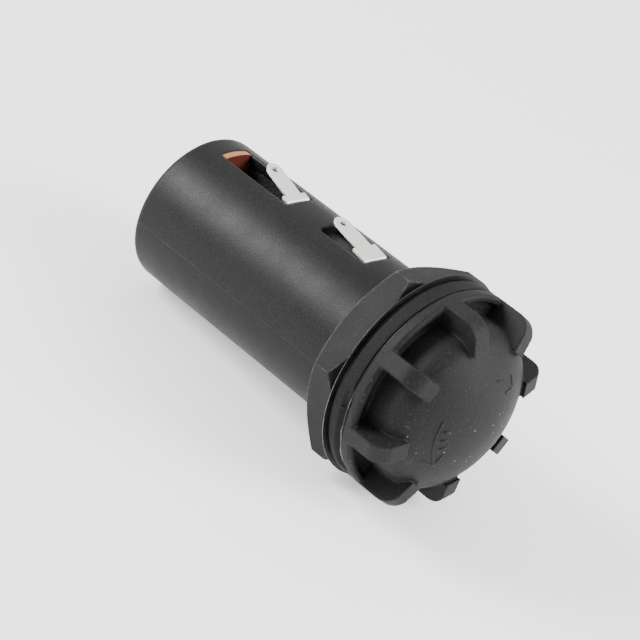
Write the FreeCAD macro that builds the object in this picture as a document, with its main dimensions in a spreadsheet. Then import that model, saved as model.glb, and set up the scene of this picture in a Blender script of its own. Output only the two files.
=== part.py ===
import FreeCAD, Part
import math
import os
import re

import Sketcher

# Panel mounting cartridge fuse holder with a screw cap.
# Millimetres. The origin is on the barrel's axis, in the plane of the panel's front face.
# +Y runs along the barrel to the rear, -Y points out of the panel to the cap, +Z is the side of the lugs.

DRIVING = {
    # barrel: the tube behind the panel, its flange in front and the neck inside the cap
    "BarrelRadius": 14.0,
    "BarrelWall": 1.8,
    "RearEdgeRound": 0.8,
    "ThreadHeight": 0.3,
    "ThreadRoot": 0.2,
    "PanelThreadLength": 6.2,
    "PanelThreadPitch": 1.5,
    "PanelThreadLead": 0.1,
    "PanelThreadBase": 0.8,
    "PanelThreadCrest": 0.3,
    "FlangeOverhang": 4.8,
    "FlangeBand": 2.5,
    "RebateWidth": 0.1,
    "RebateStep": 0.6,
    "NeckStep": 0.6,
    "NeckWall": 3.8,
    "NeckLength": 6.0,
    "NeckThreadHeight": 0.4,
    "NeckThreadPitch": 4.0,
    "NeckThreadLead": 0.6,
    "NeckThreadBase": 1.6,
    "NeckThreadCrest": 0.6,
    "ShoulderDepth": 0.8,
    "WindowWidth": 5.8,
    "WindowLead": 0.4,
    "FrontWindowLength": 11.1,
    "RearWindowLength": 17.1,
    "KeyWidth": 2.8,
    "KeyHeight": 1.0,
    # panel nut and gasket
    "NutWall": 2.6,
    "NutThickness": 6.2,
    "NutChamferAngle": 30.0,
    "NutChamferStart": 0.1,
    "NutTurn": 9.5,
    "NutClearance": 0.3,
    "GasketThickness": 0.8,
    "GasketLip": 0.6,
    "GasketLipThickness": 0.25,
    "SealThickness": 0.4,
    "SealWidth": 4.5,
    "SealInset": 0.25,
    # cap
    "CapRingHeight": 2.0,
    "CapFloor": 0.9,
    "CapRimWall": 1.2,
    "CapRimChamfer": 0.4,
    "CapWall": 1.6,
    "CapHeight": 13.1,
    "CapStepGap": 0.5,
    "CavityInset": 3.0,
    "DomeRise": 6.0,
    "DomeWall": 2.0,
    "DomeCorner": 4.5,
    "CapTurn": -12.8,
    "RibCount": 8,
    "RibWidth": 3.15,
    "RibShoulder": 5.7,
    "RibTop": 9.0,
    "RibTopInset": 2.3,
    "RibTip": 9.6,
    "RibTipInset": 5.6,
    "RibCrest": 3.6,
    "HubWall": 1.2,
    "HubDepth": 3.4,
    "SocketWall": 2.9,
    # fuse
    "FuseRadius": 5.15,
    "FuseLength": 38.1,
    "FuseSetback": 2.0,
    "FuseCapLength": 10.0,
    "FuseCapWall": 0.25,
    "FuseCapEnd": 0.5,
    "FuseTubeWall": 1.3,
    "ElementWidth": 1.6,
    "ElementThickness": 0.2,
    # fuse carrier and its clip
    "CarrierWall": 1.75,
    "CarrierDisc": 1.5,
    "CarrierDiscInset": 1.0,
    "CarrierEnd": 0.4,
    "CarrierStemRadius": 3.0,
    "CarrierHeadRadius": 4.0,
    "CarrierHeadThickness": 0.8,
    "CarrierHeadGap": 0.8,
    "SocketRadius": 5.0,
    "ClipThickness": 0.8,
    # contacts, lugs and the rings that hold them
    "ContactWall": 0.5,
    "ContactLead": 11.8,
    "ContactTail": 2.3,
    "ContactSlotWidth": 1.0,
    "ContactSlotLength": 7.4,
    "CollarThickness": 0.6,
    "CollarWidth": 1.5,
    "LugThickness": 0.5,
    "LugEyeWidth": 1.9,
    "LugFootInset": 1.0,
    "LugBaseWidth": 5.3,
    "LugTabWidth": 3.25,
    "LugHoleRadius": 0.63,
    "LugDrop": 0.25,
    "FrontLugStart": 14.4,
    "FrontLugBase": 3.2,
    "FrontLugHole": 8.8,
    "FrontLugReach": 10.4,
    "FrontLugTilt": 11.0,
    "RearLugSetback": 2.5,
    "RearLugBase": 1.5,
    "RearLugHole": 7.0,
    "RearLugReach": 8.4,
    "RearLugTilt": 17.0,
    "RingThickness": 0.5,
    "RingWidth": 1.7,
    # plunger chamber
    "ChamberStep": 1.0,
    "ChamberLead": 1.9,
    "ChamberLength": 7.0,
    "PlungerNose": 3.9,
    "PlungerCollar": 1.5,
    "PlungerPilot": 2.0,
    "SpringRoom": 15.4,
    "SpringWire": 0.35,
    "SpringRadius": 4.4,
    "SpringTurns": 5,
    # closing disc and plug
    "InsulatorThickness": 2.5,
    "EarInset": 0.1,
    "EarRoot": 2.0,
    "PlugThickness": 3.2,
    "PlugInset": 0.3,
    "PlugRecess": 1.2,
    "PlugRim": 2.6,
    "SlotWidth": 6.4,
    "SlotFloorWall": 2.4,
    # clearances
    "RunningGap": 0.05,
    "SlideGap": 0.12,
    "FitGap": 0.1,
    # how far a cutting outline runs past the material it cuts
    "Overcut": 1.0,
}

DERIVED = {
    "BarrelBore": "BarrelRadius - BarrelWall",
    "FlangeRadius": "BarrelRadius + FlangeOverhang",
    "FlangeFront": "0 - GasketThickness - RebateWidth - FlangeBand",
    "NeckRadius": "BarrelRadius - NeckStep",
    "NeckRoot": "NeckRadius - NeckThreadHeight",
    "NeckBore": "NeckRadius - NeckWall",
    "NeckFront": "FlangeFront - NeckLength",
    "ThreadRadius": "BarrelRadius + ThreadHeight",
    "NutBore": "ThreadRadius + RunningGap",
    "NutFlat": "NutBore + NutWall",
    "NutCorner": "NutFlat / cos(30)",
    "FrontWindowStart": "FrontLugStart - WindowLead",
    "RearWindowStart": "RearLugStart - WindowLead",
    "CoreRadius": "BarrelBore - FitGap",
    "CoreBore": "FuseRadius + RunningGap + ContactWall + FitGap",
    "FuseFront": "0 - FuseSetback",
    "FuseRear": "FuseLength - FuseSetback",
    "RearLugStart": "FuseRear - RearLugSetback",
    "FrontStackStart": "FrontLugStart - RingThickness - FitGap",
    "FrontStackEnd": "FrontLugStart + LugThickness + CollarThickness + FitGap",
    "RearStackStart": "RearLugStart - RingThickness - FitGap",
    "RearStackEnd": "RearLugStart + LugThickness + CollarThickness + FitGap",
    "InsulatorFront": "RearLugStart + SpringRoom",
    "InsulatorRear": "InsulatorFront + InsulatorThickness",
    "EarRadius": "BarrelRadius - EarInset",
    "EarHalfWidth": "WindowWidth / 2 - FitGap",
    "EarEdge": "sqrt(EarRadius^2 - EarHalfWidth^2)",
    "EarRear": "RearWindowStart + RearWindowLength - RunningGap",
    "BarrelEnd": "InsulatorRear + PlugThickness + PlugInset",
    "CapRear": "FlangeFront - SealThickness",
    "CapFront": "CapRear - CapHeight",
    "CapCavity": "NeckRadius + SlideGap",
    "CapWallRadius": "CapCavity + CapWall",
    "CapStep": "NeckFront - CapStepGap",
    "CapRingFront": "CapRear - CapRingHeight",
    "CapFloorFront": "CapRear - CapFloor",
    "DomeRadius": "(CapWallRadius^2 + DomeRise^2) / (2 * DomeRise)",
    "DomeCentre": "CapFront + DomeRadius",
    "DomeInner": "DomeRadius - DomeWall",
    "CornerPlace": "CapWallRadius - DomeCorner",
    "CornerDepth": "sqrt((DomeRadius - DomeCorner)^2 - CornerPlace^2)",
    "DomeScale": "DomeRadius / (DomeRadius - DomeCorner)",
    "SocketFloor": "CapFront + SocketWall",
    "SocketMouth": "SocketFloor + HubDepth",
    "HubRadius": "SocketRadius + HubWall",
    "CavityRadius": "CapCavity - CavityInset",
    "CarrierHeadFront": "SocketFloor + CarrierHeadGap",
    "CarrierHeadRear": "CarrierHeadFront + CarrierHeadThickness",
    "ClipFront": "CarrierHeadRear + 2 * FitGap",
    "CarrierSleeve": "FuseRadius + FitGap + CarrierWall",
    "CarrierDiscFront": "NeckFront + CarrierDiscInset",
    "CarrierDiscRear": "CarrierDiscFront + CarrierDisc",
    "CarrierKeyRadius": "NeckBore + KeyHeight",
    "SleeveBore": "FuseRadius + RunningGap",
    "SleeveRadius": "SleeveBore + ContactWall",
    "CollarRadius": "SleeveRadius + CollarWidth",
    "LugEyeRadius": "SleeveRadius + LugEyeWidth",
    "RingRadius": "SleeveRadius + RingWidth",
    "ChamberBore": "SleeveBore + ChamberStep",
    "ChamberRadius": "ChamberBore + ContactWall",
    "ChamberStart": "FuseRear + ChamberLead",
    "ChamberEnd": "ChamberStart + ChamberLength",
    "PlungerCollarFront": "FuseRear + PlungerNose",
    "PlungerCollarRear": "PlungerCollarFront + PlungerCollar",
}

NAME = re.compile(r"[A-Z][A-Za-z]+")

doc = FreeCAD.newDocument("FuseHolder")
sheet = doc.addObject("Spreadsheet::Sheet", "Sizes")
for row, (alias, value) in enumerate(DRIVING.items(), start=1):
    sheet.set("A%d" % row, alias)
    sheet.set("B%d" % row, str(value))
    sheet.setAlias("B%d" % row, alias)
doc.recompute()


def formula(text):
    """Return text as a FreeCAD expression in which every name stands for cells of the sheet."""
    def swap(match):
        name = match.group(0)
        if name in DRIVING:
            return "Sizes." + name
        return "(" + formula(DERIVED[name]) + ")"
    return NAME.sub(swap, text)


def number(text):
    """Return the present value of a formula."""
    return float(sheet.evalExpression(formula(text)))


def bind(thing, path, text):
    thing.setExpression(path, formula(text))


def origin_feature(body, role):
    return [feature for feature in body.Origin.OriginFeatures if feature.Role == role][0]


def new_body(label):
    body = doc.addObject("PartDesign::Body", label)
    body.Label = label
    return body


def new_sketch(body, name, plane):
    sketch = body.newObject("Sketcher::SketchObject", name)
    sketch.AttachmentSupport = [(origin_feature(body, plane), "")]
    sketch.MapMode = "FlatFace"
    return sketch


def bind_constraint(sketch, kind, geometry, point, text):
    place = [geometry] if point is None else [geometry, point]
    index = sketch.addConstraint(Sketcher.Constraint(kind, *place, number(text)))
    bind(sketch, "Constraints[%d]" % index, text)


def arc_through(start, end, radius):
    """Arc from start to end with its centre on the left of the way for a positive radius."""
    span = end - start
    reach = math.sqrt(max(radius * radius - span.Length ** 2 / 4, 0.0))
    left = FreeCAD.Vector(-span.y, span.x, 0).normalize()
    side = 1 if radius > 0 else -1
    centre = (start + end) * 0.5 + left * reach * side
    middle = centre - left * abs(radius) * side
    return Part.Arc(start, middle, end)


def outline(sketch, corners):
    """Draw a closed outline. A corner is (x, y), or (x, y, radius) when an arc leads to it."""
    first = sketch.GeometryCount
    count = len(corners)
    points = [FreeCAD.Vector(number(corner[0]), number(corner[1]), 0) for corner in corners]
    for index in range(count):
        goal = (index + 1) % count
        if len(corners[goal]) == 2:
            sketch.addGeometry(Part.LineSegment(points[index], points[goal]))
        else:
            radius = number(corners[goal][2])
            sketch.addGeometry(arc_through(points[index], points[goal], radius))
    ends = []
    for index in range(count):
        arc = len(corners[(index + 1) % count]) == 3
        forward = True
        if arc:
            start = sketch.getPoint(first + index, 1)
            forward = (start - points[index]).Length < (start - points[(index + 1) % count]).Length
        ends.append((1, 2) if forward else (2, 1))
    for index in range(count):
        goal = (index + 1) % count
        sketch.addConstraint(Sketcher.Constraint(
            "Coincident", first + index, ends[index][1], first + goal, ends[goal][0]))
    for index, corner in enumerate(corners):
        bind_constraint(sketch, "DistanceX", first + index, ends[index][0], corner[0])
        bind_constraint(sketch, "DistanceY", first + index, ends[index][0], corner[1])
    for index in range(count):
        goal = corners[(index + 1) % count]
        if len(goal) == 3:
            size = goal[2] if number(goal[2]) > 0 else "0 - (%s)" % goal[2]
            bind_constraint(sketch, "Radius", first + index, None, size)


def circle(sketch, x, y, radius):
    index = sketch.addGeometry(Part.Circle(
        FreeCAD.Vector(number(x), number(y), 0), FreeCAD.Vector(0, 0, 1), number(radius)))
    bind_constraint(sketch, "DistanceX", index, 3, x)
    bind_constraint(sketch, "DistanceY", index, 3, y)
    bind_constraint(sketch, "Radius", index, None, radius)


def rectangle(sketch, left, right, low, high):
    outline(sketch, [(left, low), (right, low), (right, high), (left, high)])


def revolved(label, corners):
    """A body turned about the Y axis from an outline of (radius, place along Y)."""
    body = new_body(label)
    sketch = new_sketch(body, label + "_section", "XY_Plane")
    outline(sketch, corners)
    turn = body.newObject("PartDesign::Revolution", label + "_turned")
    turn.Profile = sketch
    turn.ReferenceAxis = (sketch, ["V_Axis"])
    turn.Angle = 360
    doc.recompute()
    return body


def tube(label, inner, outer, start, end):
    return revolved(label, [(inner, start), (outer, start), (outer, end), (inner, end)])


def disc(label, radius, start, end):
    return revolved(label, [("0", start), (radius, start), (radius, end), ("0", end)])


def pad(body, sketch, length, midplane=False, reverse=False):
    feature = body.newObject("PartDesign::Pad", sketch.Label + "_pad")
    feature.Profile = sketch
    feature.Midplane = midplane
    feature.Reversed = reverse
    bind(feature, "Length", length)
    doc.recompute()
    return feature


def pocket(body, sketch, length, midplane=False, reverse=False):
    """Cut a sketch out of the body, and stop if the cut meets no material."""
    before = body.Shape.Volume
    feature = body.newObject("PartDesign::Pocket", sketch.Label + "_cut")
    feature.Profile = sketch
    feature.Midplane = midplane
    feature.Reversed = reverse
    bind(feature, "Length", length)
    doc.recompute()
    if body.Shape.Volume > before - 1e-3:
        raise RuntimeError("nothing was cut by " + feature.Label)
    return feature


def groove(body, sketch):
    before = body.Shape.Volume
    feature = body.newObject("PartDesign::Groove", sketch.Label + "_turned_cut")
    feature.Profile = sketch
    feature.ReferenceAxis = (sketch, ["V_Axis"])
    feature.Angle = 360
    doc.recompute()
    if body.Shape.Volume > before - 1e-3:
        raise RuntimeError("nothing was cut by " + feature.Label)
    return feature


def polar(body, features, count, name):
    pattern = body.newObject("PartDesign::PolarPattern", name)
    pattern.Originals = features
    pattern.Axis = (origin_feature(body, "Y_Axis"), [""])
    pattern.Angle = 360
    bind(pattern, "Occurrences", count)
    body.Tip = pattern
    doc.recompute()
    return pattern


def helix(body, sketch, name, pitch, height):
    feature = body.newObject("PartDesign::AdditiveHelix", name)
    feature.Profile = sketch
    feature.ReferenceAxis = (sketch, ["V_Axis"])
    feature.Mode = 0
    bind(feature, "Pitch", pitch)
    bind(feature, "Height", height)
    doc.recompute()
    return feature


def turn_about_axis(body, angle, along):
    """Turn a finished body about the barrel's axis and move it along, both bound to the sheet."""
    body.Placement = FreeCAD.Placement(
        FreeCAD.Vector(0, number(along), 0), FreeCAD.Rotation(FreeCAD.Vector(0, 1, 0), number(angle)))
    bind(body, "Placement.Rotation.Angle", angle)
    bind(body, "Placement.Base.y", along)


def add_thread(body, kind, root, crest, start, length):
    """Wind a trapezoid thread round the body from start, within the given length."""
    base = kind + "Base"
    top = kind + "Crest"
    profile = new_sketch(body, kind, "XY_Plane")
    outline(profile, [
        (root + " - ThreadRoot", start),
        (crest, "%s + (%s - %s) / 2" % (start, base, top)),
        (crest, "%s + (%s + %s) / 2" % (start, base, top)),
        (root + " - ThreadRoot", "%s + %s" % (start, base)),
    ])
    helix(body, profile, kind + "Turns", kind + "Pitch", "%s - %s" % (length, base))


def make_barrel():
    """Tube with flange and neck, two lug windows, key slots in the neck and both screw threads."""
    body = revolved("barrel", [
        ("NeckBore", "NeckFront"),
        ("NeckRoot", "NeckFront"),
        ("NeckRoot", "FlangeFront"),
        ("FlangeRadius", "FlangeFront"),
        ("FlangeRadius", "0 - GasketThickness - RebateWidth"),
        ("FlangeRadius - RebateStep", "0 - GasketThickness - RebateWidth"),
        ("FlangeRadius - RebateStep", "0 - GasketThickness"),
        ("BarrelRadius", "0 - GasketThickness"),
        ("BarrelRadius", "BarrelEnd - RearEdgeRound"),
        ("BarrelRadius - RearEdgeRound", "BarrelEnd", "RearEdgeRound"),
        ("BarrelBore", "BarrelEnd"),
        ("BarrelBore", "ShoulderDepth"),
        ("NeckBore", "ShoulderDepth"),
    ])
    windows = new_sketch(body, "barrel_windows", "XY_Plane")
    for place in ("Front", "Rear"):
        start = place + "WindowStart"
        end = "%s + %sWindowLength" % (start, place)
        rectangle(windows, "0 - WindowWidth / 2", "WindowWidth / 2", start, end)
    pocket(body, windows, "BarrelRadius + Overcut", reverse=True)
    keys = new_sketch(body, "barrel_key_slots", "XY_Plane")
    slot_reach = "CarrierKeyRadius + 2 * FitGap"
    rectangle(keys, "0 - (%s)" % slot_reach, slot_reach, "NeckFront - Overcut", "ShoulderDepth")
    pocket(body, keys, "KeyWidth + 2 * FitGap", midplane=True)
    add_thread(body, "PanelThread", "BarrelRadius", "ThreadRadius", "NutClearance + PanelThreadLead",
               "PanelThreadLength - 2 * NutClearance - PanelThreadLead")
    add_thread(body, "NeckThread", "NeckRoot", "NeckRadius", "NeckFront + NeckThreadLead",
               "NeckLength - NeckThreadLead - ThreadRoot")
    return body


def make_hex_nut():
    """Hexagonal panel nut with both rims chamfered."""
    body = new_body("hex_nut")
    hexagon = new_sketch(body, "nut_outline", "XZ_Plane")
    corners = []
    for index in range(6):
        corners.append(("NutCorner * cos(%d)" % (60 * index), "NutCorner * sin(%d)" % (60 * index)))
    outline(hexagon, corners)
    circle(hexagon, "0", "0", "NutBore")
    pad(body, hexagon, "NutThickness", reverse=True)
    chamfer = new_sketch(body, "nut_chamfers", "XY_Plane")
    reach = "(NutCorner + Overcut - NutFlat + NutChamferStart)"
    fall = reach + " * tan(NutChamferAngle)"
    outline(chamfer, [
        ("NutFlat - NutChamferStart", "NutThickness"),
        ("NutCorner + Overcut", "NutThickness - " + fall),
        ("NutCorner + Overcut", "NutThickness"),
    ])
    outline(chamfer, [
        ("NutFlat - NutChamferStart", "0"),
        ("NutCorner + Overcut", "0"),
        ("NutCorner + Overcut", fall),
    ])
    groove(body, chamfer)
    turn_about_axis(body, "NutTurn", "NutClearance")
    return body


def make_panel_gasket():
    """Flat gasket whose thin lip stands out past the flange, against the panel."""
    return revolved("panel_gasket", [
        ("BarrelRadius + FitGap", "0 - GasketThickness"),
        ("FlangeRadius - RebateStep", "0 - GasketThickness"),
        ("FlangeRadius - RebateStep", "0 - GasketLipThickness"),
        ("FlangeRadius + GasketLip", "0 - GasketLipThickness"),
        ("FlangeRadius + GasketLip", "0"),
        ("BarrelRadius + FitGap", "0"),
    ])


def make_cap_seal():
    return tube("cap_seal", "FlangeRadius - SealWidth", "FlangeRadius - SealInset", "CapRear", "FlangeFront")


def make_cap():
    """Screw cap: base ring, hollow floor, domed front with a hub inside and finger ribs outside."""
    body = revolved("cap", [
        ("CapCavity", "CapRear"),
        ("FlangeRadius", "CapRear"),
        ("FlangeRadius", "CapRingFront + CapRimChamfer"),
        ("FlangeRadius - CapRimChamfer", "CapRingFront"),
        ("FlangeRadius - CapRimWall", "CapRingFront"),
        ("FlangeRadius - CapRimWall", "CapFloorFront"),
        ("CapWallRadius", "CapFloorFront"),
        ("CapWallRadius", "DomeCentre - CornerDepth"),
        ("CornerPlace * DomeScale", "DomeCentre - CornerDepth * DomeScale", "0 - DomeCorner"),
        ("0", "CapFront", "0 - DomeRadius"),
        ("0", "SocketFloor"),
        ("SocketRadius", "SocketFloor"),
        ("SocketRadius", "SocketMouth"),
        ("HubRadius", "SocketMouth"),
        ("HubRadius", "DomeCentre - sqrt(DomeInner^2 - HubRadius^2)"),
        ("CavityRadius", "DomeCentre - sqrt(DomeInner^2 - CavityRadius^2)", "DomeInner"),
        ("CavityRadius", "CapStep"),
        ("CapCavity", "CapStep"),
    ])
    rib = new_sketch(body, "cap_rib", "XY_Plane")
    outline(rib, [
        ("CapWallRadius - CapWall / 2", "CapRear - CapFloor / 2"),
        ("FlangeRadius", "CapRear - CapFloor / 2"),
        ("FlangeRadius", "CapRear - RibShoulder"),
        ("FlangeRadius - RibTopInset", "CapRear - RibTop", "0 - RibCrest"),
        ("FlangeRadius - RibTipInset", "CapRear - RibTip"),
        ("CapWallRadius - CapWall / 2", "DomeCentre - CornerDepth"),
    ])
    rib_pad = pad(body, rib, "RibWidth", midplane=True)
    polar(body, [rib_pad], "RibCount", "cap_ribs")
    turn_about_axis(body, "CapTurn", "0")
    return body


def make_carrier_clip():
    return tube("carrier_clip", "CarrierStemRadius + 3 * FitGap", "SocketRadius",
                "ClipFront", "ClipFront + ClipThickness")


def make_fuse_carrier():
    """Socket for the front of the fuse, with a headed stem that turns in the cap and two keys."""
    body = revolved("fuse_carrier", [
        ("0", "CarrierHeadFront"),
        ("CarrierHeadRadius", "CarrierHeadFront"),
        ("CarrierHeadRadius", "CarrierHeadRear"),
        ("CarrierStemRadius", "CarrierHeadRear"),
        ("CarrierStemRadius", "CarrierDiscFront"),
        ("NeckBore - SlideGap", "CarrierDiscFront"),
        ("NeckBore - SlideGap", "CarrierDiscRear"),
        ("CarrierSleeve", "CarrierDiscRear"),
        ("CarrierSleeve", "CarrierEnd"),
        ("FuseRadius + FitGap", "CarrierEnd"),
        ("FuseRadius + FitGap", "FuseFront - FitGap"),
        ("0", "FuseFront - FitGap"),
    ])
    keys = new_sketch(body, "carrier_keys", "XY_Plane")
    root = "CarrierSleeve - CarrierWall / 2"
    rectangle(keys, root, "CarrierKeyRadius", "CarrierDiscRear - CarrierDisc / 2", "CarrierEnd - FitGap")
    rectangle(keys, "0 - CarrierKeyRadius", "0 - (%s)" % root,
              "CarrierDiscRear - CarrierDisc / 2", "CarrierEnd - FitGap")
    pad(body, keys, "KeyWidth", midplane=True)
    return body


def make_cores():
    """Three insulating sleeves stacked in the barrel, with the lug eyes clamped between them."""
    tube("front_core", "CoreBore", "CoreRadius", "ShoulderDepth + FitGap", "FrontStackStart")
    tube("middle_core", "CoreBore", "CoreRadius", "FrontStackEnd", "RearStackStart")
    rear = tube("rear_core", "ChamberRadius + FitGap", "CoreRadius",
                "RearStackEnd", "InsulatorFront - FitGap")
    slot = new_sketch(rear, "rear_core_slot", "XY_Plane")
    bind(slot, "AttachmentOffset.Base.z", "ChamberRadius + SlotFloorWall")
    rectangle(slot, "0 - SlotWidth / 2", "SlotWidth / 2",
              "RearStackEnd - Overcut", "InsulatorFront + Overcut")
    pocket(rear, slot, "BarrelRadius", reverse=True)


def slit(body, name, start, end):
    """Cut two crossed slits that turn the end of a contact sleeve into four spring fingers."""
    for plane, reach in (("XY_Plane", "flat"), ("YZ_Plane", "upright")):
        sketch = new_sketch(body, "%s_%s_slit" % (name, reach), plane)
        wide = ("0 - CollarRadius", "CollarRadius", start, end)
        if plane == "YZ_Plane":
            wide = (start, end, "0 - CollarRadius", "CollarRadius")
        rectangle(sketch, *wide)
        pocket(body, sketch, "ContactSlotWidth", midplane=True)


def make_front_contact():
    start = "FrontStackEnd - FitGap - CollarThickness"
    lead = "FrontLugStart - ContactLead"
    body = revolved("front_contact", [
        ("SleeveBore", lead),
        ("SleeveRadius", lead),
        ("SleeveRadius", start),
        ("CollarRadius", start),
        ("CollarRadius", start + " + CollarThickness"),
        ("SleeveRadius", start + " + CollarThickness"),
        ("SleeveRadius", "FrontLugStart + LugThickness + ContactTail"),
        ("SleeveBore", "FrontLugStart + LugThickness + ContactTail"),
    ])
    slit(body, "front_contact", lead + " - Overcut", lead + " + ContactSlotLength")
    return body


def make_rear_contact():
    """Stepped sleeve: the narrow part grips the fuse and the wide part is the plunger's chamber."""
    start = "RearStackEnd - FitGap - CollarThickness"
    lead = "RearLugStart - RingThickness - ContactTail"
    return revolved("rear_contact", [
        ("SleeveBore", lead),
        ("SleeveRadius", lead),
        ("SleeveRadius", start),
        ("CollarRadius", start),
        ("CollarRadius", start + " + CollarThickness"),
        ("SleeveRadius", start + " + CollarThickness"),
        ("SleeveRadius", "ChamberStart - ContactWall"),
        ("ChamberRadius", "ChamberStart - ContactWall"),
        ("ChamberRadius", "ChamberEnd"),
        ("ChamberBore", "ChamberEnd"),
        ("ChamberBore", "ChamberStart"),
        ("SleeveBore", "ChamberStart"),
    ])


def make_terminal(place):
    """Stamped lug: an eye round the contact sleeve, a wide tail through the window and a bent tab."""
    label = place.lower() + "_terminal"
    start = place + "LugStart"
    base = place + "LugBase"
    hole = place + "LugHole"
    reach = place + "LugReach"
    tilt = place + "LugTilt"
    top = "BarrelRadius - LugDrop"
    rise = "tan(%s)" % tilt
    skin = "LugThickness / cos(%s)" % tilt
    body = new_body(label)
    side = new_sketch(body, label + "_side", "YZ_Plane")
    outline(side, [
        (start, "SleeveRadius + LugFootInset"),
        (start + " + LugThickness", "SleeveRadius + LugFootInset"),
        (start + " + LugThickness", "%s - %s" % (top, skin)),
        ("%s + %s" % (start, reach), "%s + %s * %s - %s" % (top, reach, rise, skin)),
        ("%s + %s" % (start, reach), "%s + %s * %s" % (top, reach, rise)),
        (start + " + LugThickness", "%s + LugThickness * %s" % (top, rise)),
        (start, top + " - LugThickness", "LugThickness"),
    ])
    pad(body, side, "LugBaseWidth", midplane=True)
    half = "LugTabWidth / 2"
    tip = "%s + %s" % (start, reach)
    shoulder = "%s + %s" % (start, base)
    cut = new_sketch(body, label + "_tab_outline", "XY_Plane")
    outline(cut, [
        ("0 - LugBaseWidth", shoulder),
        ("0 - " + half, shoulder),
        ("0 - " + half, "%s - %s" % (tip, half)),
        ("0", tip, "0 - " + half),
        (half, "%s - %s" % (tip, half), "0 - " + half),
        (half, shoulder),
        ("LugBaseWidth", shoulder),
        ("LugBaseWidth", tip + " + Overcut"),
        ("0 - LugBaseWidth", tip + " + Overcut"),
    ])
    pocket(body, cut, "4 * BarrelRadius", midplane=True)
    drill = new_sketch(body, label + "_solder_hole", "XY_Plane")
    circle(drill, "0", "%s + %s" % (start, hole), "LugHoleRadius")
    pocket(body, drill, "4 * BarrelRadius", midplane=True)
    eye = new_sketch(body, label + "_eye", "XY_Plane")
    rectangle(eye, "SleeveRadius + RunningGap", "LugEyeRadius", start, start + " + LugThickness")
    ring = body.newObject("PartDesign::Revolution", label + "_eye_turned")
    ring.Profile = eye
    ring.ReferenceAxis = (eye, ["V_Axis"])
    ring.Angle = 360
    doc.recompute()
    return body


def make_lock_rings():
    """Two push-on rings, each in front of one lug eye, as one node of two solids."""
    rings = []
    for place in ("Front", "Rear"):
        disk = doc.addObject("Part::Cylinder", place + "RingDisk")
        bore = doc.addObject("Part::Cylinder", place + "RingBore")
        for piece, radius in ((disk, "RingRadius"), (bore, "SleeveRadius + RunningGap")):
            bind(piece, "Radius", radius)
            bind(piece, "Height", "RingThickness")
            piece.Placement = FreeCAD.Placement(
                FreeCAD.Vector(0, 0, 0), FreeCAD.Rotation(FreeCAD.Vector(1, 0, 0), 90))
            bind(piece, "Placement.Base.y", place + "LugStart")
        ring = doc.addObject("Part::Cut", place + "Ring")
        ring.Base = disk
        ring.Tool = bore
        rings.append(ring)
    group = doc.addObject("Part::Compound", "lock_rings")
    group.Links = rings
    group.Label = "lock_rings"
    doc.recompute()
    return group


def make_rear_plunger():
    return revolved("rear_plunger", [
        ("0", "FuseRear"),
        ("SleeveBore - 2 * RunningGap", "FuseRear"),
        ("SleeveBore - 2 * RunningGap", "PlungerCollarFront"),
        ("ChamberBore - 2 * RunningGap", "PlungerCollarFront"),
        ("ChamberBore - 2 * RunningGap", "PlungerCollarRear"),
        ("SpringRadius - 2 * SpringWire", "PlungerCollarRear"),
        ("SpringRadius - 2 * SpringWire", "PlungerCollarRear + PlungerPilot"),
        ("0", "PlungerCollarRear + PlungerPilot"),
    ])


def make_contact_spring():
    body = new_body("contact_spring")
    wire = new_sketch(body, "spring_wire", "XY_Plane")
    circle(wire, "SpringRadius", "PlungerCollarRear + SpringWire", "SpringWire")
    length = "(InsulatorFront - PlungerCollarRear - 2 * SpringWire)"
    helix(body, wire, "spring_turns", length + " / SpringTurns", length)
    return body


def make_rear_insulator():
    """Fibre disc with an ear that stands in the rear end of the rear window and keeps it from turning."""
    body = disc("rear_insulator", "CoreRadius", "InsulatorFront", "InsulatorRear")
    ear = new_sketch(body, "insulator_ear", "XZ_Plane")
    bind(ear, "AttachmentOffset.Base.z", "0 - InsulatorFront")
    outline(ear, [
        ("0 - EarHalfWidth", "CoreRadius - EarRoot"),
        ("EarHalfWidth", "CoreRadius - EarRoot"),
        ("EarHalfWidth", "EarEdge"),
        ("0 - EarHalfWidth", "EarEdge", "EarRadius"),
    ])
    pad(body, ear, "EarRear - InsulatorFront", reverse=True)
    return body


def make_rear_plug():
    return revolved("rear_plug", [
        ("0", "InsulatorRear"),
        ("BarrelBore", "InsulatorRear"),
        ("BarrelBore", "BarrelEnd - PlugInset"),
        ("BarrelBore - PlugRim", "BarrelEnd - PlugInset"),
        ("BarrelBore - PlugRim", "BarrelEnd - PlugInset - PlugRecess"),
        ("0", "BarrelEnd - PlugInset - PlugRecess"),
    ])


def make_fuse():
    """Cartridge fuse: ceramic tube, two plated end caps and the fusible strip between them."""
    inner = "FuseRadius - FuseCapWall"
    for label, face, way in (("fuse_cap_front", "FuseFront", "+"), ("fuse_cap_rear", "FuseRear", "-")):
        floor = "%s %s FuseCapEnd" % (face, way)
        rim = "%s %s FuseCapLength" % (face, way)
        revolved(label, [("0", face), ("FuseRadius", face), ("FuseRadius", rim),
                         (inner, rim), (inner, floor), ("0", floor)])
    tube("fuse_tube", inner + " - FuseTubeWall", inner, "FuseFront + FuseCapEnd", "FuseRear - FuseCapEnd")
    body = new_body("fuse_element")
    strip = new_sketch(body, "fuse_element_strip", "XY_Plane")
    rectangle(strip, "0 - ElementWidth / 2", "ElementWidth / 2",
              "FuseFront + FuseCapEnd", "FuseRear - FuseCapEnd")
    pad(body, strip, "ElementThickness", midplane=True)


make_barrel()
make_hex_nut()
make_panel_gasket()
make_cap_seal()
make_cap()
make_carrier_clip()
make_fuse_carrier()
make_cores()
make_front_contact()
make_rear_contact()
for side in ("Front", "Rear"):
    make_terminal(side)
make_lock_rings()
make_rear_plunger()
make_contact_spring()
make_rear_insulator()
make_rear_plug()
make_fuse()
doc.recompute()

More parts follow.
